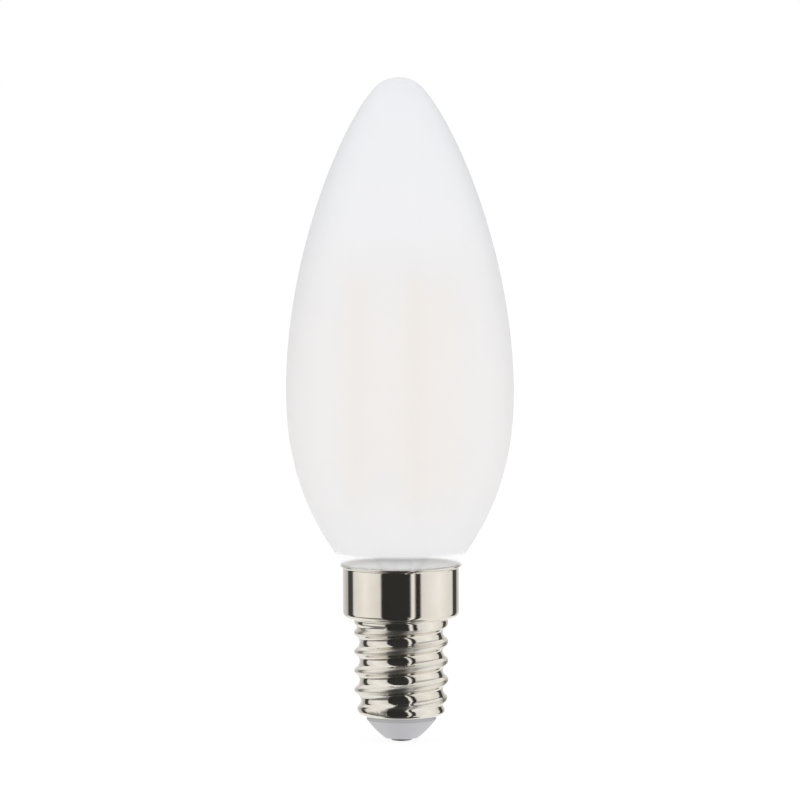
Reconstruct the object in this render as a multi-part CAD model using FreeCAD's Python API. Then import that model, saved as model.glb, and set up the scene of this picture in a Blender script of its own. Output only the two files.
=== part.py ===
import FreeCAD, Part
import os
from math import asin, ceil, cos, pi, radians, sin, sqrt, tan, tau

# Candle bulb: frosted glass envelope, LED filaments on a glass stem, and a small Edison screw cap.
# All sizes are in millimetres. The bulb stands on its cap: z = 0 is the flat of the centre contact,
# +Z points to the glass tip, and +X is to the right of someone who looks along +Y.

Vec = FreeCAD.Vector
ORIGIN = Vec(0, 0, 0)
UP = Vec(0, 0, 1)

# General clearances
seat_gap = 0.02             # between a wire and the strip or glass that it is welded or melted to
fit_gap = 0.04              # between the cap's fitted pieces
loose_gap = 0.1             # between the board and the thread's bore

# Glass envelope, outside sizes
bulb_length = 97.62         # contact face to glass tip
glass_wall = 0.6
nose_radius = 4.84
nose_turn = 48.1            # degrees that the nose turns from straight up
nose_handle = 7.57          # how far the outline keeps the nose's direction
belly_radius = 16.73        # the widest place
belly_height = 51.4
shoulder_handle = 19.65     # how far the outline stays upright above the widest place
hip_handle = 10.21          # the same below it
throat_radius = 9.92        # where the frosting ends and the clear neck begins
throat_height = 28.2
throat_slope = 34.0         # degrees from upright
throat_handle = 7.12
collar_handle = 0.5         # how far the clear neck keeps the throat's slope, and the lip's
neck_radius = 7.4
neck_top = 22.4
neck_handle = 1.3
neck_bottom = 18.75

# Cap shell, drawn from one sheet
sheet = 0.25
thread_radius = 6.94        # over the crests
thread_pitch = 2.822
thread_depth = 0.8
thread_crest_round = 0.52   # outside radius of the rolled crest; the groove's follows from it
thread_start = 14.58        # height of one crest on the +X side
thread_top = 17.6           # the groove has faded out here
thread_top_fade = 1.2
thread_foot_fade = 1.5
thread_columns = 36         # spline poles round the thread
thread_rows = 14            # and along one pitch
taper_top = 7.2             # below this the shell draws in a little
foot_radius = 6.55
roll_radius = 1.2           # the rolled-in lower edge
roll_height = 0.5           # the roll's part below the threaded sheet
shell_bottom = 3.7
shell_hole_radius = 5.14
skirt_radius = 8.55
shoulder_height = 18.25     # underside of the skirt
shoulder_root = 0.45
shoulder_corner = 0.9
lip_start = 25.52           # the turned-out rim begins here
lip_bend = 0.25
lip_turn = 65.0
lip_radius = 8.98

# Insulator and contact
contact_radius = 1.6
contact_height = 0.4        # how far the rivet's head stands below the insulator
contact_edge = 0.3
shank_radius = 0.65
clinch_radius = 1.1
clinch_thickness = 0.35
insulator_tip_radius = 2.45
insulator_rim_radius = 5.14
insulator_rim_height = 3.17
insulator_bulge = 0.14      # how much the cone's side stands out from a straight line
insulator_floor = 1.9       # thickness at the middle
insulator_flange = 0.5      # how far it reaches out over the shell's rolled edge
insulator_top = 5.1
insulator_wall = 1.3
insulator_draft = 0.5       # how much narrower the recess is at its floor

# Capping cement
cement_bottom = 19.0
cement_top = 25.5

# Stem
flare_radius = 2.95
flare_wall = 0.6
flare_rim_height = 0.75     # the cylinder fused to the envelope's neck
flare_bell_top = 21.6
flare_tube_top = 24.6
flare_bell_hold = 0.8       # how far the bell keeps the tube's direction, as a share of its drop
flare_rim_hold = 0.7        # and the rim's, as a share of its spread
press_width = 8.2
press_thickness = 2.9
press_shoulder = 27.0       # full width from here up
press_spread = 0.2          # share of its spread that the press has reached half way up
press_top = 28.1
press_round = 0.4
exhaust_radius = 1.25
exhaust_bore = 0.75
exhaust_offset = 0.3        # the tube stands a little to the right
exhaust_top = 26.6
exhaust_tip = 17.55
exhaust_seal = 1.75         # glass melted shut below the bore
port_radius = 0.4           # hole in the press that the bulb was emptied and filled through
pillar_radius = 0.9
pillar_knob_radius = 1.35

# Filament cage
filament_count = 4
filament_circle = 6.8
filament_turn = 20.0        # degrees from +X to the first filament
filament_bottom = 33.5
filament_length = 38.0      # over the tabs
filament_width = 1.6
filament_thickness = 1.2
tab_length = 2.9
tab_width = 0.8
tab_foot_width = 1.4
tab_foot = 0.7
tab_shoulder = 0.3          # height over which the foot narrows to the tab
tab_thickness = 0.25
wire_radius = 0.2
link_overhang = 3.0         # degrees that a link runs past the tabs it is welded to
link_inset = 1.1            # from the filament's end to the link
lead_spread = 1.85          # of the lead wires in the flare
lead_spread_top = 2.7       # and where they leave the press
lead_bend = 1.2
lead_jog = 2.0              # height of the jog from the board's face to the axis
lead_knee = 0.6             # the leads start to spread this far below the press, and end so too
lead_rise = 1.2             # upright run above the press
lead_tail = 2.0             # upright run below the bottom link

# Driver board and its parts
board_front = 0.6           # distance of its front face behind the axis
board_thickness = 0.8
board_bottom = 8.4
board_top = 17.2
pad_overlap = 2.4           # how far the lead wires run down the board
can_radius = 2.5
can_height = 8.0
can_bottom = 6.3
can_edge = 0.4
can_x = -2.1
can_leg_radius = 0.25
can_leg_pitch = 2.4
leg_rise = 0.6
resistor_radius = 1.15
resistor_length = 5.8
resistor_edge = 0.4
resistor_bottom = 7.9
resistor_x = 3.1
resistor_y = -1.9
resistor_leg_radius = 0.3
resistor_leg_rise = 1.7
resistor_leg_level = 5.45   # where the lower leg crosses to the contact
chip_standoff = 0.1
chip_lead = 0.55            # how far a chip's leads reach out
chip_lead_sheet = 0.15
bridge_width = 4.6
bridge_height = 3.3
bridge_thickness = 1.5
bridge_lead_width = 0.7
bridge_drop = 2.4           # from the board's top edge to the rectifier's middle
driver_width = 4.9
driver_height = 2.8
driver_thickness = 1.4
driver_lead_width = 0.4
driver_rise = 2.1           # from the board's lower edge to the chip's middle
flat_length = 3.2           # the two flat resistors
flat_height = 1.6
flat_thickness = 0.55
flat_cap = 0.45
flat_cap_step = 0.05        # how far the end caps stand out from the body
sense_rise = 3.4            # from the board's lower edge to each of them
bleed_rise = 0.8
neutral_radius = 0.3
neutral_x = 4.4
neutral_overlap = 0.6       # how far up the board the neutral lead is soldered
neutral_drop = 0.4
neutral_fall = 0.6          # how much it falls on its way out to the shell


def smooth(t):
    """Rise from 0 to 1 with level ends."""
    t = min(1.0, max(0.0, t))
    return t * t * (3 - 2 * t)


def at(radius, height):
    """A point of a turned outline, in the XZ plane."""
    return Vec(radius, 0, height)


def line(start, end):
    return Part.LineSegment(start, end).toShape()


def arc(centre, radius, start, end):
    """Arc in the XZ plane between two angles in degrees, counted from +X towards +Z."""
    stops = (start, (start + end) / 2, end)
    points = [centre + at(cos(radians(a)), sin(radians(a))) * radius for a in stops]
    return Part.Arc(*points).toShape()


def bezier(*poles):
    curve = Part.BezierCurve()
    curve.setPoles(list(poles))
    return curve.toShape()


def ends(edge):
    return edge.valueAt(edge.FirstParameter), edge.valueAt(edge.LastParameter)


def turned(edges):
    """Solid turned from a closed outline in the XZ plane."""
    return Part.Face(Part.Wire(edges)).revolve(ORIGIN, UP, 360)


def block(x, y, z):
    """Box between pairs of coordinates."""
    return Part.makeBox(x[1] - x[0], y[1] - y[0], z[1] - z[0], Vec(x[0], y[0], z[0]))


def rod(radius, start, end):
    return Part.makeCylinder(radius, (end - start).Length, start, end - start)


def bent_wire(points, radius, bend):
    """Round wire through the points: straight runs joined by bends, eased where a run is short."""
    edges = []
    start = points[0]
    for before, corner, after in zip(points, points[1:], points[2:]):
        back = before - corner
        ahead = after - corner
        room = 0.45 * min(back.Length, ahead.Length)
        half = back.getAngle(ahead) / 2
        cut = min(bend / tan(half), room)
        back.normalize()
        ahead.normalize()
        inward = back + ahead
        inward.normalize()
        turn = cut * tan(half)
        middle = corner + inward * (turn / sin(half) - turn)
        end = corner + ahead * cut
        edges += [line(start, corner + back * cut), Part.Arc(corner + back * cut, middle, end).toShape()]
        start = end
    edges.append(line(start, points[-1]))
    section = Part.Wire(Part.makeCircle(radius, points[0], points[1] - points[0]))
    return Part.Wire(edges).makePipeShell([section], True, False)


# Glass envelope

def lip_centre():
    """The skirt's lip bends round this point, and the glass bends round it inside the lip."""
    return at(skirt_radius + lip_bend, lip_start)


def envelope_line(inset):
    """The outline from the tip to the neck's lower end, moved in by inset."""
    tilt = radians(nose_turn)
    nose = at(0, bulb_length - nose_radius)
    radius = nose_radius - inset
    nose_end = nose + at(sin(tilt), cos(tilt)) * radius
    belly = at(belly_radius - inset, belly_height)
    slope = radians(throat_slope)
    rising = at(sin(slope), cos(slope))
    throat = at(throat_radius, throat_height) + at(-cos(slope), sin(slope)) * inset
    lean = radians(lip_turn)
    spread = at(sin(lean), cos(lean))
    bend = arc(lip_centre(), lip_bend + sheet + fit_gap + inset, 180 - lip_turn, 180)
    bend_top, bend_foot = ends(bend)
    neck = at(neck_radius - inset, neck_top)
    return [
        arc(nose, radius, 90, 90 - nose_turn),
        bezier(nose_end, nose_end + at(cos(tilt), -sin(tilt)) * nose_handle,
               belly + UP * shoulder_handle, belly),
        bezier(belly, belly - UP * hip_handle, throat + rising * throat_handle, throat),
        bezier(throat, throat - rising * collar_handle, bend_top + spread * collar_handle, bend_top),
        bend,
        bezier(bend_foot, bend_foot - UP * neck_handle, neck + UP * neck_handle, neck),
        line(neck, at(neck_radius - inset, neck_bottom)),
    ]


def glass_envelope():
    outside = envelope_line(0)
    inside = envelope_line(glass_wall)
    rim = line(ends(outside[-1])[1], ends(inside[-1])[1])
    tip = line(at(0, bulb_length), at(0, bulb_length - glass_wall))
    return turned(outside + [rim] + inside[::-1] + [tip])


def glass_filled():
    """The envelope's outside as a solid body, to shape what fits round it."""
    outside = envelope_line(0)
    floor = line(at(neck_radius, neck_bottom), at(0, neck_bottom))
    axis = line(at(0, neck_bottom), at(0, bulb_length))
    return turned(outside + [floor, axis])


# Cap shell: the rolled thread is a spline surface whose radius follows a helix

def thread_drop(u, inset):
    """Depth below the crest at a distance u along the axis: two tangent arcs, crest and root."""
    both = (thread_pitch ** 2 / 4 + thread_depth ** 2) / (2 * thread_depth)
    crest = thread_crest_round - inset
    root = both - crest
    if abs(u) <= thread_pitch / 2 * crest / both:
        return crest - sqrt(crest ** 2 - u ** 2)
    from_root = thread_pitch / 2 - abs(u)
    return thread_depth - root + sqrt(root ** 2 - from_root ** 2)


def roll_centre():
    return at(foot_radius - roll_radius, shell_bottom + roll_radius)


def thread_foot():
    return shell_bottom + roll_height


def shell_radius(z, inset):
    """Radius over the crests: straight, then drawn in towards the foot, then rolled under."""
    centre = roll_centre()
    if z < centre.z:
        return centre.x + sqrt((roll_radius - inset) ** 2 - (centre.z - z) ** 2)
    drawn_in = (foot_radius - thread_radius) * (1 - smooth((z - centre.z) / (taper_top - centre.z)))
    return thread_radius + drawn_in - inset


def thread_halves(inset):
    """One side of the threaded sheet, from the roll to the plain neck, as a back and a front face."""
    around = thread_columns
    foot = thread_foot()
    spans = ceil((thread_top - foot) / thread_pitch * thread_rows)
    stations = [0, 1 / 3] + list(range(1, spans)) + [spans - 1 / 3, spans]
    swell = 3 / (2 + cos(tau / around))
    poles = []
    for i in range(around):
        turn = tau * (i - 1) / around
        column = []
        for station in stations:
            z = foot + (thread_top - foot) * station / spans
            u = (z - thread_start - thread_pitch * turn / tau + thread_pitch / 2) % thread_pitch
            share = smooth((z - foot) / thread_foot_fade) * smooth((thread_top - z) / thread_top_fade)
            drop = share * thread_drop(u - thread_pitch / 2, inset)
            radius = (shell_radius(z, inset) - drop) * swell
            column.append(Vec(radius * cos(turn), radius * sin(turn), z))
        poles.append(column)
    surface = Part.BSplineSurface()
    surface.buildFromPolesMultsKnots(
        poles, [1] * (around + 1), [4] + [1] * (spans - 1) + [4],
        [float(k) for k in range(around + 1)], [float(k) for k in range(spans + 1)], True, False, 3, 3)
    half = around // 2
    return [surface.toShape(0, half, 0, spans), surface.toShape(half, around, 0, spans)]


def threaded_sheet():
    """The sheet between its two threaded sides, closed level above and below."""
    outside = thread_halves(0)
    inside = thread_halves(sheet)
    faces = outside + inside
    for height in (thread_foot(), thread_top):
        rings = []
        for halves in (outside, inside):
            edges = [edge for half in halves for edge in half.Edges
                     if edge.BoundBox.ZLength < fit_gap and abs(edge.CenterOfMass.z - height) < fit_gap]
            rings.append(Part.Wire(edges))
        faces.append(Part.Face(rings))
    skin = Part.makeCompound(faces)
    skin.sewShape()
    solid = Part.Solid(skin.Shells[0])
    if solid.Volume < 0:
        solid.reverse()
    return solid


def roll_line(inset):
    """The rolled-in lower edge, from the threaded sheet to the hole."""
    centre = roll_centre()
    radius = roll_radius - inset
    under = at(centre.x, centre.z - radius)
    start = asin((centre.z - thread_foot()) / radius) * 180 / pi
    return [arc(centre, radius, -start, -90),
            line(under, at(shell_hole_radius + sheet / 2, under.z))]


def skirt_line(inset):
    """Neck, shoulder, skirt wall and turned-out lip, from the thread up."""
    root = at(thread_radius + shoulder_root, shoulder_height - shoulder_root)
    corner = at(skirt_radius - shoulder_corner, shoulder_height + shoulder_corner)
    bend = lip_centre()
    tilt = radians(lip_turn)
    reach = (lip_radius - sheet / 2 - bend.x + lip_bend * cos(tilt) + sheet / 2 * cos(tilt)) / sin(tilt)
    edges = [
        arc(root, shoulder_root + inset, 180, 90),
        arc(corner, shoulder_corner - inset, -90, 0),
        arc(bend, lip_bend + inset, 180, 180 - lip_turn),
    ]
    lip_root = ends(edges[2])[1]
    return [
        line(at(thread_radius - inset, thread_top), ends(edges[0])[0]), edges[0],
        line(ends(edges[0])[1], ends(edges[1])[0]), edges[1],
        line(ends(edges[1])[1], ends(edges[2])[0]), edges[2],
        line(lip_root, lip_root + at(sin(tilt), cos(tilt)) * reach),
    ]


def turned_sheet(outside, inside, outward):
    """Ring of sheet between two open outlines that end in a half-round edge."""
    first, last = ends(outside[-1])[1], ends(inside[-1])[1]
    middle = (first + last) * 0.5 + outward * (sheet / 2)
    edge = Part.Arc(first, middle, last).toShape()
    closing = line(ends(inside[0])[0], ends(outside[0])[0])
    return turned(outside + [edge] + inside[::-1] + [closing])


def cap_shell():
    tilt = radians(lip_turn)
    roll = turned_sheet(roll_line(0), roll_line(sheet), Vec(-1, 0, 0))
    skirt = turned_sheet(skirt_line(0), skirt_line(sheet), at(sin(tilt), cos(tilt)))
    return threaded_sheet().fuse([roll, skirt], 0.0001)


# Insulator and contact

def insulator_seat():
    """The flange's underside follows the inside of the shell's rolled edge."""
    return roll_radius - sheet - fit_gap


def cap_insulator():
    tip = at(insulator_tip_radius, contact_height)
    rim = at(insulator_rim_radius, insulator_rim_height)
    along = rim - tip
    middle = (tip + rim) * 0.5 + Vec(along.z, 0, -along.x).normalize() * insulator_bulge
    centre = roll_centre()
    seat = insulator_seat()
    waist = shell_hole_radius - fit_gap
    flange = waist + insulator_flange
    seat_low = at(centre.x, centre.z - seat)
    seat_high = at(flange, centre.z - sqrt(seat ** 2 - (flange - centre.x) ** 2))
    seat_middle_x = (centre.x + flange) / 2
    seat_middle = at(seat_middle_x, centre.z - sqrt(seat ** 2 - (seat_middle_x - centre.x) ** 2))
    bore = shank_radius
    floor_top = contact_height + insulator_floor
    recess = flange - insulator_wall
    edges = [
        line(at(bore, contact_height), tip),
        Part.Arc(tip, middle, rim).toShape(),
        line(rim, at(waist, rim.z)),
        line(at(waist, rim.z), at(waist, seat_low.z)),
        line(at(waist, seat_low.z), seat_low),
        Part.Arc(seat_low, seat_middle, seat_high).toShape(),
        line(seat_high, at(flange, insulator_top)),
        line(at(flange, insulator_top), at(recess, insulator_top)),
        line(at(recess, insulator_top), at(recess - insulator_draft, floor_top)),
        line(at(recess - insulator_draft, floor_top), at(bore, floor_top)),
        line(at(bore, floor_top), at(bore, contact_height)),
    ]
    return turned(edges)


def contact_rivet():
    """Head under the insulator, shank through it, clinched over above its floor."""
    floor_top = contact_height + insulator_floor
    head = Part.makeCylinder(contact_radius, contact_height)
    head = head.makeFillet(contact_edge, [head.Edges[2]])
    shank = rod(shank_radius, at(0, contact_height), at(0, floor_top + clinch_thickness))
    clinch = Part.makeCylinder(clinch_radius, clinch_thickness, at(0, floor_top))
    return head.fuse([shank, clinch]).removeSplitter()


# Capping cement

def capping_cement():
    """Ring cast between the glass neck and the skirt."""
    bore = skirt_radius - sheet
    corner = shoulder_corner - sheet
    inner = neck_radius - glass_wall
    edges = [
        line(at(inner, cement_bottom), at(bore - corner, cement_bottom)),
        arc(at(bore - corner, cement_bottom + corner), corner, -90, 0),
        line(at(bore, cement_bottom + corner), at(bore, cement_top)),
        line(at(bore, cement_top), at(inner, cement_top)),
        line(at(inner, cement_top), at(inner, cement_bottom)),
    ]
    return turned(edges).cut(glass_filled())


# Stem

def ellipse(half_width, half_depth, z):
    return Part.Wire(Part.Ellipse(Vec(half_width, 0, z), Vec(0, half_depth, z), Vec(0, 0, z)).toShape())


def flare():
    """Tube that opens in a bell to the rim, which is melted to the envelope's neck."""
    rim = neck_radius - glass_wall
    rim_top = neck_bottom + flare_rim_height
    bore = flare_radius - flare_wall
    top = at(flare_radius, flare_bell_top)
    foot = at(rim, rim_top)
    inner_top = at(bore, flare_bell_top - flare_wall)
    inner_foot = at(rim - flare_wall, neck_bottom)
    spread = Vec(flare_rim_hold * (rim - flare_radius), 0, 0)
    hold = flare_bell_hold * (top.z - foot.z)
    return turned([
        line(at(flare_radius, flare_tube_top), top),
        bezier(top, top - UP * hold, foot - spread, foot),
        line(foot, at(rim, neck_bottom)),
        line(at(rim, neck_bottom), inner_foot),
        bezier(inner_foot, inner_foot + UP * flare_wall - spread, inner_top - UP * hold, inner_top),
        line(inner_top, at(bore, flare_tube_top)),
        line(at(bore, flare_tube_top), at(flare_radius, flare_tube_top)),
    ])


def press():
    """The tube's end flattened round the wires and the exhaust tube."""
    half_width = press_width / 2
    half_depth = press_thickness / 2
    tube_end = Part.Wire(Part.makeCircle(flare_radius, at(0, flare_tube_top)))
    half_way = ellipse(flare_radius + press_spread * (half_width - flare_radius),
                       (flare_radius + half_depth) / 2, (flare_tube_top + press_shoulder) / 2)
    full = ellipse(half_width, half_depth, press_shoulder)
    squeeze = Part.makeLoft([tube_end, half_way, full], True)
    head = Part.Face(full).extrude(UP * (press_top - press_shoulder))
    top_edge = max(head.Edges, key=lambda edge: edge.CenterOfMass.z)
    sharpest = half_depth ** 2 / half_width
    head = head.makeFillet(min(press_round, 0.8 * sharpest), [top_edge])
    return squeeze.fuse(head)


def glass_stem():
    """Flare and press in one, with the passages of the exhaust tube and the leads."""
    return flare().fuse(press()).cut([exhaust_blank(), exhaust_port(), lead_wire(-1), lead_wire(1)])


def exhaust_axis(z):
    return Vec(exhaust_offset, 0, z)


def exhaust_blank():
    """The exhaust tube without its bore: it closes to a round tip below."""
    tube = rod(exhaust_radius, exhaust_axis(exhaust_tip + exhaust_radius), exhaust_axis(exhaust_top))
    tip = Part.makeSphere(exhaust_radius, exhaust_axis(exhaust_tip + exhaust_radius))
    return tube.fuse(tip).removeSplitter()


def exhaust_port():
    """Slanting hole from the tube's bore out through the front of the press."""
    start = exhaust_axis(exhaust_top - exhaust_bore)
    return rod(port_radius, start, start + Vec(0, -press_thickness, press_thickness / 3))


def exhaust_tube():
    closed_end = exhaust_axis(exhaust_tip + exhaust_seal)
    bore = rod(exhaust_bore, closed_end, exhaust_axis(exhaust_top))
    return exhaust_blank().cut([bore, exhaust_port()])


def filament_top():
    return filament_bottom + filament_length


def anchor_height():
    return filament_top() - link_inset - 2 * wire_radius - seat_gap


def support_pillar():
    """Glass rod on the press, with a knob that holds the anchor wire."""
    rod_part = rod(pillar_radius, at(0, press_top), at(0, anchor_height()))
    knob = Part.makeSphere(pillar_knob_radius, at(0, anchor_height()))
    return rod_part.fuse(knob).removeSplitter().cut(top_anchor_wire())


# Filament cage

def link_radius():
    return filament_circle - tab_thickness / 2 - wire_radius - seat_gap


def polar(radius, degrees, z):
    return Vec(radius * cos(radians(degrees)), radius * sin(radians(degrees)), z)


def filament_angle(number):
    """Filaments are numbered anticlockwise from above, the first on the right."""
    return filament_turn + 360 / filament_count * (number - 1)


def led_filament(number):
    """Phosphor-coated strip with rounded long edges."""
    half = (filament_width - filament_thickness) / 2
    side = filament_thickness / 2
    low = filament_bottom + tab_length
    long_edges = [
        line(Vec(side, -half, low), Vec(side, half, low)),
        Part.Arc(Vec(side, half, low), Vec(0, half + side, low), Vec(-side, half, low)).toShape(),
        line(Vec(-side, half, low), Vec(-side, -half, low)),
        Part.Arc(Vec(-side, -half, low), Vec(0, -half - side, low), Vec(side, -half, low)).toShape(),
    ]
    strip = Part.Face(Part.Wire(long_edges)).extrude(UP * (filament_length - 2 * tab_length))
    strip.translate(Vec(filament_circle, 0, 0))
    strip.rotate(ORIGIN, UP, filament_angle(number))
    return strip


def filament_tabs(number):
    """The strip's two metal end tabs, each with a wide foot clamped on the strip's end."""
    back = filament_circle - tab_thickness / 2
    corners = [(tab_foot_width / 2, 0), (tab_foot_width / 2, tab_foot),
               (tab_width / 2, tab_foot + tab_shoulder), (tab_width / 2, tab_length)]
    outline = corners + [(-y, z) for y, z in reversed(corners)]
    middle = filament_bottom + filament_length / 2
    reach = filament_length / 2 - tab_length
    tabs = []
    for way in (1, -1):
        points = [Vec(back, y, middle + way * (reach + z)) for y, z in outline]
        face = Part.Face(Part.makePolygon(points + [points[0]]))
        tabs.append(face.extrude(Vec(tab_thickness, 0, 0)))
    pair = Part.makeCompound(tabs)
    pair.rotate(ORIGIN, UP, filament_angle(number))
    return pair


def link_wire(first, z):
    """Bent wire welded inside the tabs of one filament and the next."""
    sweep = 360 / filament_count + 2 * link_overhang
    wire = Part.makeTorus(link_radius(), wire_radius, Vec(0, 0, z), UP, 0, 360, sweep)
    wire.rotate(Vec(0, 0, z), UP, filament_angle(first) - link_overhang)
    return wire


def top_link(first):
    return link_wire(first, filament_top() - link_inset)


def bottom_link(first):
    return link_wire(first, filament_bottom + link_inset)


def top_anchor_wire():
    """Straight wire through the pillar's knob, under the middle of both top links."""
    angle = filament_angle(1.5)
    tip = polar(link_radius() + wire_radius, angle, anchor_height())
    return rod(wire_radius, Vec(-tip.x, -tip.y, tip.z), tip)


def lead_wire(side):
    """From a pad on the board up the flare, through the press, and out to a bottom link."""
    x = side * lead_spread
    pad_y = board_front - wire_radius - seat_gap
    end_height = filament_bottom + link_inset - wire_radius - seat_gap
    end = polar(side * link_radius(), filament_angle(1), end_height)
    points = [
        Vec(x, pad_y, board_top - pad_overlap),
        Vec(x, pad_y, board_top + wire_radius),
        Vec(x, 0, board_top + wire_radius + lead_jog),
        Vec(x, 0, flare_tube_top - lead_knee),
        Vec(side * lead_spread_top, 0, press_shoulder - lead_knee),
        Vec(side * lead_spread_top, 0, press_top + lead_rise),
        end - UP * lead_tail,
        end,
    ]
    return bent_wire(points, wire_radius, lead_bend)


# Driver board and its parts

def board_edge():
    """Half width: the board's back corners stand just clear of the thread's bore."""
    bore = thread_radius - sheet - thread_depth - loose_gap
    back = board_front + board_thickness
    return sqrt(bore ** 2 - back ** 2)


def driver_board():
    half = board_edge()
    return block((-half, half), (board_front, board_front + board_thickness), (board_bottom, board_top))


def chip(width, height, thickness, leads, lead_width, middle):
    """Moulded body on the board's back face, with a row of bent leads above and below."""
    face = board_front + board_thickness
    body = block((-width / 2, width / 2), (face + chip_standoff, face + thickness),
                 (middle - height / 2, middle + height / 2))
    step = width / leads
    pins = []
    for i in range(leads):
        x = (i + 0.5) * step - width / 2
        across = (x - lead_width / 2, x + lead_width / 2)
        for way in (1, -1):
            root = middle + way * height / 2
            tip = root + way * chip_lead
            knee = root + way * chip_lead / 3
            level = face + (thickness + chip_lead_sheet) / 2
            drop = sorted((knee, knee + way * chip_lead_sheet))
            pins.append(block(across, (level - chip_lead_sheet, level), sorted((root, knee))))
            pins.append(block(across, (face, level), drop))
            pins.append(block(across, (face, face + chip_lead_sheet), sorted((knee, tip))))
    return body.fuse(pins).removeSplitter()


def bridge_rectifier():
    return chip(bridge_width, bridge_height, bridge_thickness, 2, bridge_lead_width,
                board_top - bridge_drop)


def driver_chip():
    return chip(driver_width, driver_height, driver_thickness, 4, driver_lead_width,
                board_bottom + driver_rise)


def surface_resistor(z):
    """Flat resistor on the board's front face, with its two end caps."""
    left = resistor_x - flat_length / 2
    right = resistor_x + flat_length / 2
    front = board_front - flat_thickness
    body = block((left + flat_cap, right - flat_cap), (front + flat_cap_step, board_front),
                 (z + flat_cap_step, z + flat_height - flat_cap_step))
    caps = [block((x, x + flat_cap), (front, board_front), (z, z + flat_height))
            for x in (left, right - flat_cap)]
    return body.fuse(caps)


def sense_resistor():
    return surface_resistor(board_bottom + sense_rise)


def bleed_resistor():
    return surface_resistor(board_bottom + bleed_rise)


def can_axis(z):
    """The can stands in front of the board, a little clear of it."""
    return Vec(can_x, board_front - 2 * loose_gap - can_radius, z)


def smoothing_capacitor():
    can = Part.makeCylinder(can_radius, can_height, can_axis(can_bottom))
    can = can.makeFillet(can_edge, [edge for edge in can.Edges if edge.Closed])
    top = can_bottom + can_height
    legs = []
    for way in (-1, 1):
        foot = can_axis(top) + Vec(way * can_leg_pitch / 2, 0, 0)
        knee = foot + UP * leg_rise
        pad = Vec(knee.x, board_front, knee.z)
        legs.append(bent_wire([foot - UP * can_edge, knee, pad], can_leg_radius, can_leg_radius * 2))
    return can.fuse(legs)


def fusible_resistor():
    """Upright resistor whose lower leg goes to the contact and whose upper leg goes to the board."""
    low = Vec(resistor_x, resistor_y, resistor_bottom)
    high = low + UP * resistor_length
    body = Part.makeCylinder(resistor_radius, resistor_length, low)
    body = body.makeFillet(resistor_edge, [edge for edge in body.Edges if edge.Closed])
    knee = high + UP * resistor_leg_rise
    upper = bent_wire([high - UP * resistor_edge, knee, Vec(knee.x, board_front, knee.z)],
                      resistor_leg_radius, resistor_leg_radius * 2)
    clinch_top = contact_height + insulator_floor + clinch_thickness
    lower = bent_wire([low + UP * resistor_edge, Vec(low.x, low.y, resistor_leg_level),
                       Vec(0, 0, resistor_leg_level), Vec(0, 0, clinch_top)],
                      resistor_leg_radius, resistor_leg_radius * 2)
    return body.fuse([upper, lower])


def neutral_lead():
    """Insulated wire from the board's front face to the shell's wall."""
    y = board_front - neutral_radius - seat_gap
    end_radius = thread_radius - sheet - thread_depth - loose_gap - neutral_radius
    low = board_bottom - neutral_drop
    points = [Vec(neutral_x, y, board_bottom + neutral_overlap), Vec(neutral_x, y, low),
              Vec(end_radius, y, low - neutral_fall)]
    return bent_wire(points, neutral_radius, neutral_radius * 2)


def all_parts():
    parts = {
        "glass_envelope": glass_envelope(),
        "glass_stem": glass_stem(),
        "exhaust_tube": exhaust_tube(),
        "support_pillar": support_pillar(),
        "lead_wire_left": lead_wire(-1),
        "lead_wire_right": lead_wire(1),
        "bottom_link_left": bottom_link(2),
        "bottom_link_right": bottom_link(4),
        "top_link_front": top_link(3),
        "top_link_back": top_link(1),
        "top_anchor_wire": top_anchor_wire(),
        "cap_shell": cap_shell(),
        "cap_insulator": cap_insulator(),
        "contact_rivet": contact_rivet(),
        "capping_cement": capping_cement(),
        "driver_board": driver_board(),
        "bridge_rectifier": bridge_rectifier(),
        "driver_chip": driver_chip(),
        "sense_resistor": sense_resistor(),
        "bleed_resistor": bleed_resistor(),
        "smoothing_capacitor": smoothing_capacitor(),
        "fusible_resistor": fusible_resistor(),
        "neutral_lead": neutral_lead(),
    }
    for number in range(1, filament_count + 1):
        parts[f"led_filament_{number}"] = led_filament(number)
        parts[f"filament_tabs_{number}"] = filament_tabs(number)
    return parts


os.makedirs("parts", exist_ok=True)
for name, shape in all_parts().items():
    shape.exportStep(f"parts/{name}.step")
    box = shape.BoundBox
    print(f"{name}: solids {len(shape.Solids)}, valid {shape.isValid()}, volume {shape.Volume:.2f}, "
          f"x {box.XMin:.2f} {box.XMax:.2f}, y {box.YMin:.2f} {box.YMax:.2f}, z {box.ZMin:.2f} {box.ZMax:.2f}")
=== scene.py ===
import bpy
from math import cos, pi, radians, sin
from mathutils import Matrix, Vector

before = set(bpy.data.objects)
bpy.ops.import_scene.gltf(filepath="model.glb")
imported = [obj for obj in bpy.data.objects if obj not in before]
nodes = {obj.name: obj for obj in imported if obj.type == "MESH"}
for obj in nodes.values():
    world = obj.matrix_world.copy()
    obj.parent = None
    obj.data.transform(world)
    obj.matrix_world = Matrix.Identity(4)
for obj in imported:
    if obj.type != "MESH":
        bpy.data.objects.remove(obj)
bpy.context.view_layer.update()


# Glass envelope: one blown candle-shaped bulb of thin glass, etched to a soft white down to a level
# line just above the cap. Below it the neck is clear. The white mist on the neck isn't known on the
# real bulb: it lightens the neck, because too little light reaches the cement behind it.

def new_material(name):
    material = bpy.data.materials.new(name)
    material.use_nodes = True
    material.node_tree.nodes.clear()
    return material


def add(material, kind, **settings):
    """Add a node. Settings name its properties, and its sockets' values by the sockets' names."""
    node = material.node_tree.nodes.new(kind)
    for key, value in settings.items():
        if hasattr(node, key):
            setattr(node, key, value)
        else:
            node.inputs[key.replace("_", " ")].default_value = value
    return node


def join(material, start, end):
    material.node_tree.links.new(start, end)


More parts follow.
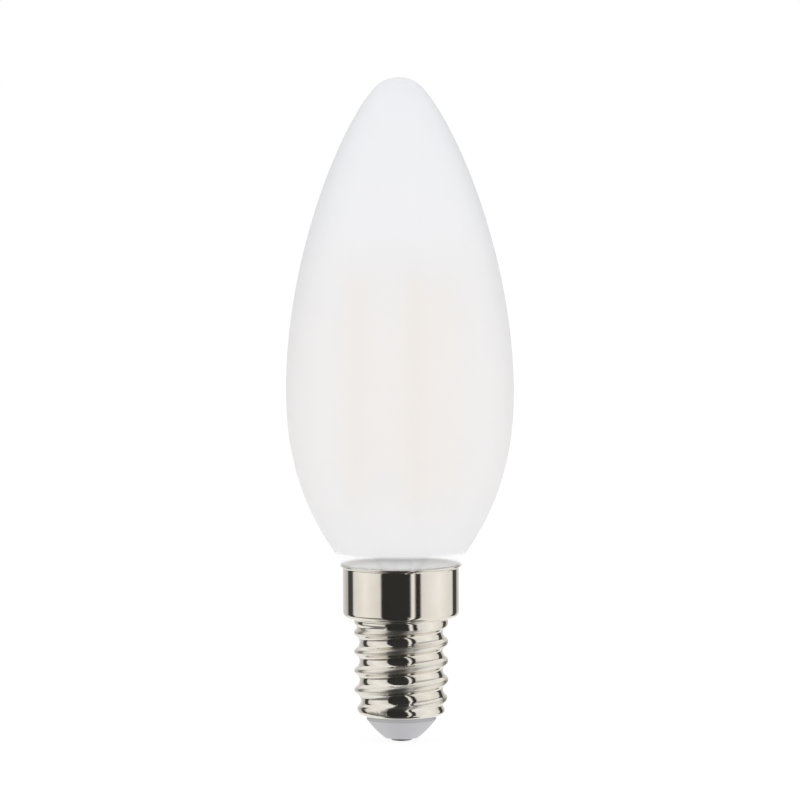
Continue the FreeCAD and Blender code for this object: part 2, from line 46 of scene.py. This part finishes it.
def math(material, operation, a, b=0.0, clamp=False):
    """A sum of two values, each a socket or a number."""
    node = add(material, "ShaderNodeMath", operation=operation, use_clamp=clamp)
    for socket, value in zip(node.inputs, (a, b)):
        if isinstance(value, (int, float)):
            socket.default_value = value
        else:
            join(material, value, socket)
    return node.outputs[0]


def grown(material, value, start, fade):
    """0 up to start and 1 from start + fade on. With a negative fade it grows downwards."""
    return math(material, "DIVIDE", math(material, "SUBTRACT", value, start), fade, clamp=True)


def mixed(material, share, first, second):
    """Shader that is first where share is 0 and second where it is 1."""
    node = add(material, "ShaderNodeMixShader")
    if isinstance(share, float):
        node.inputs[0].default_value = share
    else:
        join(material, share, node.inputs[0])
    join(material, first, node.inputs[1])
    join(material, second, node.inputs[2])
    return node.outputs[0]


def two_tones(material, share, first, last, ends=(0.0, 1.0)):
    """Colour that goes from first to last as share goes from one end to the other."""
    ramp = add(material, "ShaderNodeValToRGB")
    for stop, position, colour in zip(ramp.color_ramp.elements, ends, (first, last)):
        stop.position = position
        stop.color = (*colour, 1)
    join(material, share, ramp.inputs[0])
    return ramp.outputs[0]


def noise(material, size, detail):
    """Soft random values from 0 to 1, fixed in the piece."""
    node = add(material, "ShaderNodeTexNoise", Scale=size, Detail=detail)
    join(material, add(material, "ShaderNodeNewGeometry").outputs["Position"], node.inputs["Vector"])
    return node.outputs["Fac"]


def height_in(material):
    node = add(material, "ShaderNodeSeparateXYZ")
    join(material, add(material, "ShaderNodeNewGeometry").outputs["Position"], node.inputs[0])
    return node.outputs["Z"]


def front_side(material):
    """1 where a face is seen from its front and 0 from its back."""
    return math(material, "SUBTRACT", 1.0, add(material, "ShaderNodeNewGeometry").outputs["Backfacing"])


def finished(material, shader):
    join(material, shader, add(material, "ShaderNodeOutputMaterial").inputs["Surface"])
    return material


def cover(material, *names):
    for name in names:
        nodes[name].material_slots[0].material = material


def envelope_glass():
    frost_edge, frost_fade = 0.0279, 0.0005      # height of the etching's lower edge, and its softness
    waver_size, waver_height = 260.0, 0.0003     # that edge isn't quite level
    heart = (0.0, 0.0, 0.050)    # a point that the outer face looks away from and the inner face looks to
    etched_low, etched_high = 0.027, 0.087       # heights between which the white darkens a little, as painted shade, and its sheen changes
    # the white at the upper height is painted shade: the top of the bulb is painted a little darker
    white_low, shaded_white_high = (0.980, 0.983, 1.0), (0.960, 0.966, 0.986)
    blurred_share = 0.15         # of the etching's light that it blurs and doesn't scatter fully
    sheen_share, sheen_power = 0.62, 1.6         # dull reflection at the outline, at the upper height
    clear_share = 0.18           # of plain glass's reflection that the clear neck keeps
    mist_low, mist_high = 0.0258, 0.0279         # heights between which the neck's mist thins out
    mist_share, mist_loss = 0.65, 0.5            # its share below, and how much of that is gone above

    m = new_material("etched_glass")
    place = add(m, "ShaderNodeNewGeometry")
    front = front_side(m)
    facing = math(m, "SUBTRACT", 1.0, math(m, "MULTIPLY", 2.0, place.outputs["Backfacing"]))
    outward = add(m, "ShaderNodeVectorMath", operation="SUBTRACT")
    join(m, place.outputs["Position"], outward.inputs[0])
    outward.inputs[1].default_value = heart
    looks_out = add(m, "ShaderNodeVectorMath", operation="DOT_PRODUCT")
    join(m, place.outputs["Normal"], looks_out.inputs[0])
    join(m, outward.outputs[0], looks_out.inputs[1])
    outer = math(m, "GREATER_THAN", math(m, "MULTIPLY", looks_out.outputs["Value"], facing), 0.0)

    height = height_in(m)
    waver = math(m, "MULTIPLY", noise(m, waver_size, 1.0), waver_height)
    frost = grown(m, math(m, "ADD", height, waver), frost_edge, frost_fade)
    rise = grown(m, height, etched_low, etched_high - etched_low)
    # painted shade: the white darkens towards the top of the bulb
    white = two_tones(m, rise, white_low, shaded_white_high)

    edge_on = add(m, "ShaderNodeLayerWeight", Blend=0.5).outputs["Facing"]
    at_outline = math(m, "POWER", edge_on, sheen_power)
    sheen = math(m, "MULTIPLY", at_outline, math(m, "MULTIPLY", rise, sheen_share))
    sheen = math(m, "MULTIPLY", sheen, front)
    gleam = add(m, "ShaderNodeFresnel", IOR=1.45).outputs[0]
    clear_gleam = math(m, "MULTIPLY", math(m, "MULTIPLY", gleam, clear_share), front)

    reflected = add(m, "ShaderNodeBsdfDiffuse")
    join(m, white, reflected.inputs["Color"])
    passed = add(m, "ShaderNodeBsdfTranslucent")
    join(m, white, passed.inputs["Color"])
    blurred = add(m, "ShaderNodeBsdfRefraction", Roughness=1.0, IOR=1.2).outputs[0]
    dull = add(m, "ShaderNodeBsdfAnisotropic", Roughness=0.6, Color=(0.93, 0.96, 1.0, 1)).outputs[0]
    scattered = mixed(m, 0.5, reflected.outputs[0], passed.outputs[0])
    etched = mixed(m, sheen, mixed(m, blurred_share, scattered, blurred), dull)

    clear = add(m, "ShaderNodeBsdfTransparent", Color=(1.0, 1.0, 1.0, 1)).outputs[0]
    sharp = add(m, "ShaderNodeBsdfAnisotropic", Roughness=0.04).outputs[0]
    mist = mixed(m, front, passed.outputs[0], reflected.outputs[0])
    thinning = math(m, "MULTIPLY", grown(m, height, mist_low, mist_high - mist_low), mist_loss)
    misty = math(m, "MULTIPLY", math(m, "SUBTRACT", 1.0, thinning), mist_share)
    etched_part = mixed(m, outer, clear, etched)
    clear_part = mixed(m, math(m, "MULTIPLY", outer, misty), mixed(m, clear_gleam, clear, sharp), mist)
    return finished(m, mixed(m, frost, clear_part, etched_part))


cover(envelope_glass(), "glass_envelope")


# Stem: a clear glass flare tube, melted to the neck at its rim and pinched flat at the top round
# the two wires. The thin exhaust tube hangs inside it, and a glass rod stands on it. The grey of their
# edges and of the pinched top is painted shade, for the dark that thick glass bends into view there.

def bumped(material, value, strength, distance):
    node = add(material, "ShaderNodeBump", Strength=strength, Distance=distance)
    join(material, value, node.inputs["Height"])
    return node.outputs[0]


def toned(material, share, colour, other, blend="MIX"):
    """Colour, mixed by share with another one that is the same everywhere."""
    node = add(material, "ShaderNodeMix", data_type="RGBA", blend_type=blend)
    join(material, share, node.inputs[0])
    join(material, colour, node.inputs[6])
    node.inputs[7].default_value = (*other, 1)
    return node.outputs[2]


def stem_glass(name, edge_shade_tint, pinch_shade_tint):
    """Clear glass with painted shade: its edges, seen through more of it, and its pinched top are painted
    greyer.
    """
    face_tint = (0.995, 0.998, 1.0)
    grey_ends = (0.35, 0.65)     # how far edge-on the painted shade begins and is full
    pinch_from, pinch_fade = 0.0263, 0.0004      # height at which the flare is pinched flat
    gleam_share = 0.5            # of its reflection that the stem keeps

    m = new_material(name)
    front = front_side(m)
    dip = bumped(m, noise(m, 900.0, 1.0), 0.25, 0.0001)
    edge_on = add(m, "ShaderNodeLayerWeight", Blend=0.5)
    join(m, dip, edge_on.inputs["Normal"])
    turned_away = math(m, "MULTIPLY", edge_on.outputs["Facing"], front)
    # painted shade: the glass is painted greyer as its faces turn edge-on
    painted_edge_shade = two_tones(m, turned_away, face_tint, edge_shade_tint, grey_ends)
    pinched = grown(m, height_in(m), pinch_from, pinch_fade)
    clear = add(m, "ShaderNodeBsdfTransparent")
    # painted shade on the pinched top, over the edges' painted shade
    through = toned(m, math(m, "MULTIPLY", pinched, front), painted_edge_shade, pinch_shade_tint, "MULTIPLY")
    join(m, through, clear.inputs["Color"])
    sharp = add(m, "ShaderNodeBsdfAnisotropic", Roughness=0.05)
    join(m, dip, sharp.inputs["Normal"])
    gleam = add(m, "ShaderNodeFresnel", IOR=1.3)
    join(m, dip, gleam.inputs["Normal"])
    share = math(m, "MULTIPLY", math(m, "MULTIPLY", gleam.outputs[0], gleam_share), front)
    return finished(m, mixed(m, share, clear.outputs[0], sharp.outputs[0]))


# the two greys of each are painted shade for its edges and its pinched top
cover(stem_glass("stem_glass", (0.05, 0.06, 0.07), (0.80, 0.86, 0.88)), "glass_stem")
cover(stem_glass("thin_tube_glass", (0.80, 0.83, 0.85), (0.98, 0.99, 0.99)), "support_pillar", "exhaust_tube")


# Wires of the filament cage: nickel-plated iron wire, drawn and cut, bent by hand tool and spot-welded
# to the filaments' tabs.

def roughened(material, grain, least, more):
    """Roughness that a grain from 0 to 1 adds to."""
    return math(material, "ADD", math(material, "MULTIPLY", grain, more), least)


def wire_metal():
    oxide_share = 0.6
    m = new_material("drawn_wire")
    grain = noise(m, 4000.0, 2.0)
    tone = two_tones(m, grain, (0.74, 0.73, 0.71), (0.84, 0.83, 0.80))
    metal = add(m, "ShaderNodeBsdfPrincipled", Metallic=1.0)
    join(m, tone, metal.inputs["Base Color"])
    join(m, roughened(m, grain, 0.40, 0.2), metal.inputs["Roughness"])
    oxide = add(m, "ShaderNodeBsdfDiffuse")
    join(m, tone, oxide.inputs["Color"])
    return finished(m, mixed(m, oxide_share, metal.outputs[0], oxide.outputs[0]))


cover(wire_metal(), "lead_wire_left", "lead_wire_right", "bottom_link_left", "bottom_link_right",
      "top_link_front", "top_link_back", "top_anchor_wire",
      *(f"filament_tabs_{number}" for number in range(1, 5)))


# Filaments: strips with a row of small diodes, under a moulded coat of silicone that is full of
# yellow phosphor. The diodes show as slightly paler squares along the strip.

def phosphor():
    diode_pitch = 0.00115
    contrast, middle = 0.35, 0.5
    m = new_material("phosphor_coat")
    coat = add(m, "ShaderNodeBsdfPrincipled", Roughness=0.5)
    wave = math(m, "SINE", math(m, "MULTIPLY", height_in(m), 2 * pi / diode_pitch))
    diodes = math(m, "ADD", math(m, "MULTIPLY", wave, contrast), middle, clamp=True)
    join(m, two_tones(m, diodes, (0.80, 0.47, 0.10), (0.90, 0.62, 0.20)), coat.inputs["Base Color"])
    return finished(m, coat.outputs[0])


cover(phosphor(), *(f"led_filament_{number}" for number in range(1, 5)))


# Driver board: glass-fibre laminate under green solder mask, sawn to fit the thread's bore, with the
# parts that turn mains current into a small steady one soldered to it.

def laminate():
    weave_size, weave_depth = 2200.0, 0.00003
    m = new_material("board_laminate")
    board = add(m, "ShaderNodeBsdfPrincipled", Roughness=0.45)
    weave = add(m, "ShaderNodeTexChecker", Scale=weave_size,
                Color1=(0.030, 0.150, 0.060, 1), Color2=(0.038, 0.180, 0.074, 1))
    join(m, add(m, "ShaderNodeNewGeometry").outputs["Position"], weave.inputs["Vector"])
    join(m, weave.outputs["Color"], board.inputs["Base Color"])
    join(m, bumped(m, weave.outputs["Fac"], 0.2, weave_depth), board.inputs["Normal"])
    return finished(m, board.outputs[0])


def moulded_case(name, dark, light, roughness, grain_size):
    """Small part's case: one colour with a fine grain that varies it and roughens it."""
    m = new_material(name)
    case = add(m, "ShaderNodeBsdfPrincipled")
    grain = noise(m, grain_size, 2.0)
    join(m, two_tones(m, grain, dark, light), case.inputs["Base Color"])
    join(m, roughened(m, grain, roughness, 0.15), case.inputs["Roughness"])
    return finished(m, case.outputs[0])


cover(laminate(), "driver_board")
cover(moulded_case("chip_case", (0.012, 0.012, 0.013), (0.030, 0.030, 0.031), 0.5, 3500.0),
      "bridge_rectifier", "driver_chip", "sense_resistor", "bleed_resistor")
cover(moulded_case("can_sleeve", (0.010, 0.020, 0.060), (0.018, 0.032, 0.085), 0.2, 700.0),
      "smoothing_capacitor")
cover(moulded_case("resistor_enamel", (0.12, 0.24, 0.32), (0.17, 0.31, 0.40), 0.3, 1500.0),
      "fusible_resistor")
cover(moulded_case("lead_sleeve", (0.60, 0.60, 0.57), (0.70, 0.70, 0.67), 0.35, 1500.0), "neutral_lead")


# Cap shell: thin brass, drawn to a cup, its thread rolled in, then bright nickel-plated. Fine lines
# from drawing and polishing run round it, and the thread's crests are rubbed a little dull.

def nickel_plate():
    line_sizes = (60.0, 60.0, 5200.0)            # long round the shell and fine along its axis
    crest_from, crest_fade = 0.00648, 0.00015    # radius from which the thread is rubbed dull
    thread_top = 0.0170
    polish, line_roughness, rub = 0.05, 0.06, 0.20    # roughness of the plate, its lines and its crests

    m = new_material("nickel_plate")
    metal = add(m, "ShaderNodeBsdfPrincipled", Metallic=1.0)
    tone = two_tones(m, noise(m, 220.0, 2.0), (0.80, 0.765, 0.69), (0.86, 0.835, 0.775), (0.3, 0.7))
    join(m, tone, metal.inputs["Base Color"])
    place = add(m, "ShaderNodeNewGeometry").outputs["Position"]
    stretch = add(m, "ShaderNodeMapping", Scale=line_sizes)
    join(m, place, stretch.inputs["Vector"])
    lines = add(m, "ShaderNodeTexNoise", Scale=1.0, Detail=3.0)
    join(m, stretch.outputs[0], lines.inputs["Vector"])
    from_axis = add(m, "ShaderNodeVectorMath", operation="MULTIPLY")
    join(m, place, from_axis.inputs[0])
    from_axis.inputs[1].default_value = (1.0, 1.0, 0.0)
    radius = add(m, "ShaderNodeVectorMath", operation="LENGTH")
    join(m, from_axis.outputs[0], radius.inputs[0])
    near_crest = grown(m, radius.outputs["Value"], crest_from, crest_fade)
    on_thread = math(m, "LESS_THAN", height_in(m), thread_top)
    rubbed = math(m, "MULTIPLY", math(m, "MULTIPLY", near_crest, on_thread), rub)
    lined = roughened(m, lines.outputs["Fac"], polish, line_roughness)
    join(m, math(m, "ADD", lined, rubbed), metal.inputs["Roughness"])
    join(m, bumped(m, lines.outputs["Fac"], 0.03, 0.00002), metal.inputs["Normal"])
    return finished(m, metal.outputs[0])


cover(nickel_plate(), "cap_shell")


# Capping cement: cream resin and marble flour, cast between the skirt and the neck and baked hard.

def baked_cement():
    m = new_material("baked_cement")
    grain = noise(m, 2500.0, 3.0)
    cement = add(m, "ShaderNodeBsdfDiffuse")
    join(m, two_tones(m, grain, (0.95, 0.93, 0.89), (0.98, 0.97, 0.94)), cement.inputs["Color"])
    join(m, bumped(m, grain, 0.4, 0.00005), cement.inputs["Normal"])
    skin = add(m, "ShaderNodeBsdfAnisotropic", Roughness=0.55)
    low_angle = add(m, "ShaderNodeFresnel", IOR=1.5)
    return finished(m, mixed(m, low_angle.outputs[0], cement.outputs[0], skin.outputs[0]))


cover(baked_cement(), "capping_cement")


# Insulator: a cone of light grey moulded plastic, clamped over the shell's rolled-in edge.

def insulator_plastic():
    m = new_material("insulator_grey")
    plastic = add(m, "ShaderNodeBsdfPrincipled", Roughness=0.42)
    tone = two_tones(m, noise(m, 300.0, 2.0), (0.47, 0.47, 0.495), (0.53, 0.53, 0.555))
    join(m, tone, plastic.inputs["Base Color"])
    return finished(m, plastic.outputs[0])


cover(insulator_plastic(), "cap_insulator")


# Centre contact: a small rivet with a tinned, slightly rubbed head.

def tinned_contact():
    m = new_material("tinned_contact")
    metal = add(m, "ShaderNodeBsdfPrincipled", Metallic=1.0)
    rubs = noise(m, 1500.0, 4.0)
    join(m, two_tones(m, rubs, (0.20, 0.20, 0.19), (0.36, 0.355, 0.34)), metal.inputs["Base Color"])
    join(m, roughened(m, rubs, 0.25, 0.3), metal.inputs["Roughness"])
    return finished(m, metal.outputs[0])


cover(tinned_contact(), "contact_rivet")


# Studio: a plain white world lights the bulb. Mirrored rays see a set-up instead: two cream light panels
# at the sides, a dark gap between them with a narrow strip in it, a dark flag behind each panel, a white
# backdrop, and a dark zone straight below.

def studio_world():
    cream = (1.0, 0.975, 0.95)   # one tint for all that stands round the bulb
    panel_middle, panel_edge = 1.0, 0.8          # a light panel is brightest in its middle
    strip_level, gap_level, flag_level = 0.95, 0.03, 0.06
    backdrop_level, backdrop_shaded = 0.95, 0.5  # opposite the camera and beside the flags
    left_panel, right_panel = (-110, -40), (40, 125)    # degrees round from the front, towards the right
    strip = (20, 28)
    left_flag, right_flag = -130, 145            # outer edges of the flags
    softness = 4                 # degrees over which one of these gives way to the next
    front_reach, back_reach = 0.97, 0.30         # sines of the elevations that they reach to, up and down
    reach_fade = 0.025
    backdrop_white = (0.93, 0.92, 0.90)          # beyond that reach
    side_from, side_fade = 0.45, 0.15            # sine of the turn from the front where a side begins
    tilt_from, tilt_fade = 0.35, 0.15            # and of the elevation where its shade begins
    right_shade, left_shade = 0.45, 0.80         # at the right high up, and at the left low down
    shade_dark = (0.02, 0.02, 0.02)
    under_edge, under_fade = 0.88, 0.05          # sine of the angle below level where the dark zone begins
    under_dark = (0.060, 0.058, 0.054)

    def edge(degrees, before, after):
        return [(degrees - softness / 2, before), (degrees + softness / 2, after)]

    levels = [(-180, backdrop_level), *edge(left_flag, backdrop_shaded, flag_level),
              *edge(left_panel[0], flag_level, panel_edge), (sum(left_panel) / 2, panel_middle),
              *edge(left_panel[1], panel_edge, gap_level),
              *edge(strip[0], gap_level, strip_level), *edge(strip[1], strip_level, gap_level),
              *edge(right_panel[0], gap_level, panel_edge), (sum(right_panel) / 2, panel_middle),
              *edge(right_panel[1], panel_edge, flag_level),
              *edge(right_flag, flag_level, backdrop_shaded), (180, backdrop_level)]

    w = bpy.data.worlds.new("studio")
    w.use_nodes = True
    w.node_tree.nodes.clear()
    parts = add(w, "ShaderNodeSeparateXYZ")
    join(w, add(w, "ShaderNodeTexCoord").outputs["Generated"], parts.inputs[0])
    right, back, up = parts.outputs["X"], parts.outputs["Y"], parts.outputs["Z"]
    turn = math(w, "ARCTAN2", right, math(w, "MULTIPLY", back, -1.0))
    ramp = add(w, "ShaderNodeValToRGB")
    stops = ramp.color_ramp.elements
    while len(stops) < len(levels):
        stops.new(0.5)
    for stop, (degrees, level) in zip(stops, levels):
        stop.position = (degrees + 180) / 360
    for stop, (degrees, level) in zip(stops, levels):
        stop.color = (*(level * share for share in cream), 1)
    join(w, math(w, "ADD", math(w, "DIVIDE", turn, 2 * pi), 0.5), ramp.inputs[0])

    level_out = math(w, "SQRT", math(w, "SUBTRACT", 1.0, math(w, "POWER", up, 2.0)))
    level_out = math(w, "MAXIMUM", level_out, 1e-6)
    rightness = math(w, "DIVIDE", right, level_out)
    shaded_right = math(w, "MULTIPLY", grown(w, rightness, side_from, side_fade),
                        grown(w, up, tilt_from, tilt_fade))
    shaded_left = math(w, "MULTIPLY", grown(w, rightness, -side_from, -side_fade),
                       grown(w, up, -tilt_from, -tilt_fade))
    shade = math(w, "ADD", math(w, "MULTIPLY", shaded_right, right_shade),
                 math(w, "MULTIPLY", shaded_left, left_shade))
    reach = math(w, "SUBTRACT", (front_reach + back_reach) / 2,
                 math(w, "MULTIPLY", math(w, "DIVIDE", back, level_out), (front_reach - back_reach) / 2))
    beyond = grown(w, math(w, "ABSOLUTE", up), reach, reach_fade)
    below = grown(w, up, -under_edge, -under_fade)
    seen = toned(w, shade, ramp.outputs[0], shade_dark)
    seen = toned(w, beyond, seen, backdrop_white)
    seen = toned(w, below, seen, under_dark)

    ray = add(w, "ShaderNodeLightPath")
    mirrored = math(w, "MULTIPLY", ray.outputs["Is Glossy Ray"],
                    math(w, "SUBTRACT", 1.0, ray.outputs["Is Transmission Ray"]))
    white = add(w, "ShaderNodeBackground", Color=(1, 1, 1, 1), Strength=1.0)
    set_up = add(w, "ShaderNodeBackground", Strength=1.0)
    join(w, seen, set_up.inputs["Color"])
    shader = mixed(w, mirrored, white.outputs[0], set_up.outputs[0])
    join(w, shader, add(w, "ShaderNodeOutputWorld").inputs["Surface"])
    return w


bpy.context.scene.world = studio_world()


# Floor: a white table that the bulb stands on by its contact. Most of its white is its own light, so
# that it is even, and the rest takes the bulb's shadow. Mirrored rays look through it to the studio.

def table_top():
    reach, sides = 3.0, 96
    shadow_share, own_light = 0.18, 0.86
    rim = [(reach * cos(2 * pi * i / sides), reach * sin(2 * pi * i / sides), 0) for i in range(sides)]
    mesh = bpy.data.meshes.new("table_top")
    mesh.from_pydata(rim, [], [tuple(range(sides))])
    table = bpy.data.objects.new("table_top", mesh)
    bpy.context.scene.collection.objects.link(table)
    m = new_material("table_white")
    shaded = add(m, "ShaderNodeBsdfDiffuse", Color=(shadow_share, shadow_share, shadow_share, 1))
    lit = add(m, "ShaderNodeEmission", Color=(1, 1, 1, 1), Strength=own_light)
    both = add(m, "ShaderNodeAddShader")
    join(m, shaded.outputs[0], both.inputs[0])
    join(m, lit.outputs[0], both.inputs[1])
    mesh.materials.append(finished(m, both.outputs[0]))
    table.visible_glossy = False
    return table


table_top()


# Camera: a long lens that looks down on the bulb's middle by 4.8 degrees, and is turned by 0.28 of a
# degree, because the bulb in the photograph leans that much.

def far_camera():
    distance = 0.9
    width_seen = 0.1174
    lift = radians(4.8)
    roll = radians(0.28)
    target = Vector((0.00001, 0.0, 0.05027))
    lens = bpy.data.cameras.new("far_camera")
    lens.sensor_width = 36.0
    lens.lens = lens.sensor_width * distance / width_seen
    lens.clip_start = 0.05
    camera = bpy.data.objects.new("far_camera", lens)
    bpy.context.scene.collection.objects.link(camera)
    camera.location = target + Vector((0, -cos(lift), sin(lift))) * distance
    camera.rotation_euler = (pi / 2 - lift, 0, 0)
    camera.rotation_mode = "XYZ"
    camera.rotation_euler.rotate_axis("Z", -roll)
    bpy.context.scene.camera = camera


far_camera()
bpy.context.scene.view_settings.view_transform = "Standard"
bpy.context.scene.cycles.transparent_max_bounces = 32    # the cage is seen through many glass walls
bpy.context.scene.cycles.diffuse_bounces = 10            # and light scatters long inside the white bulb
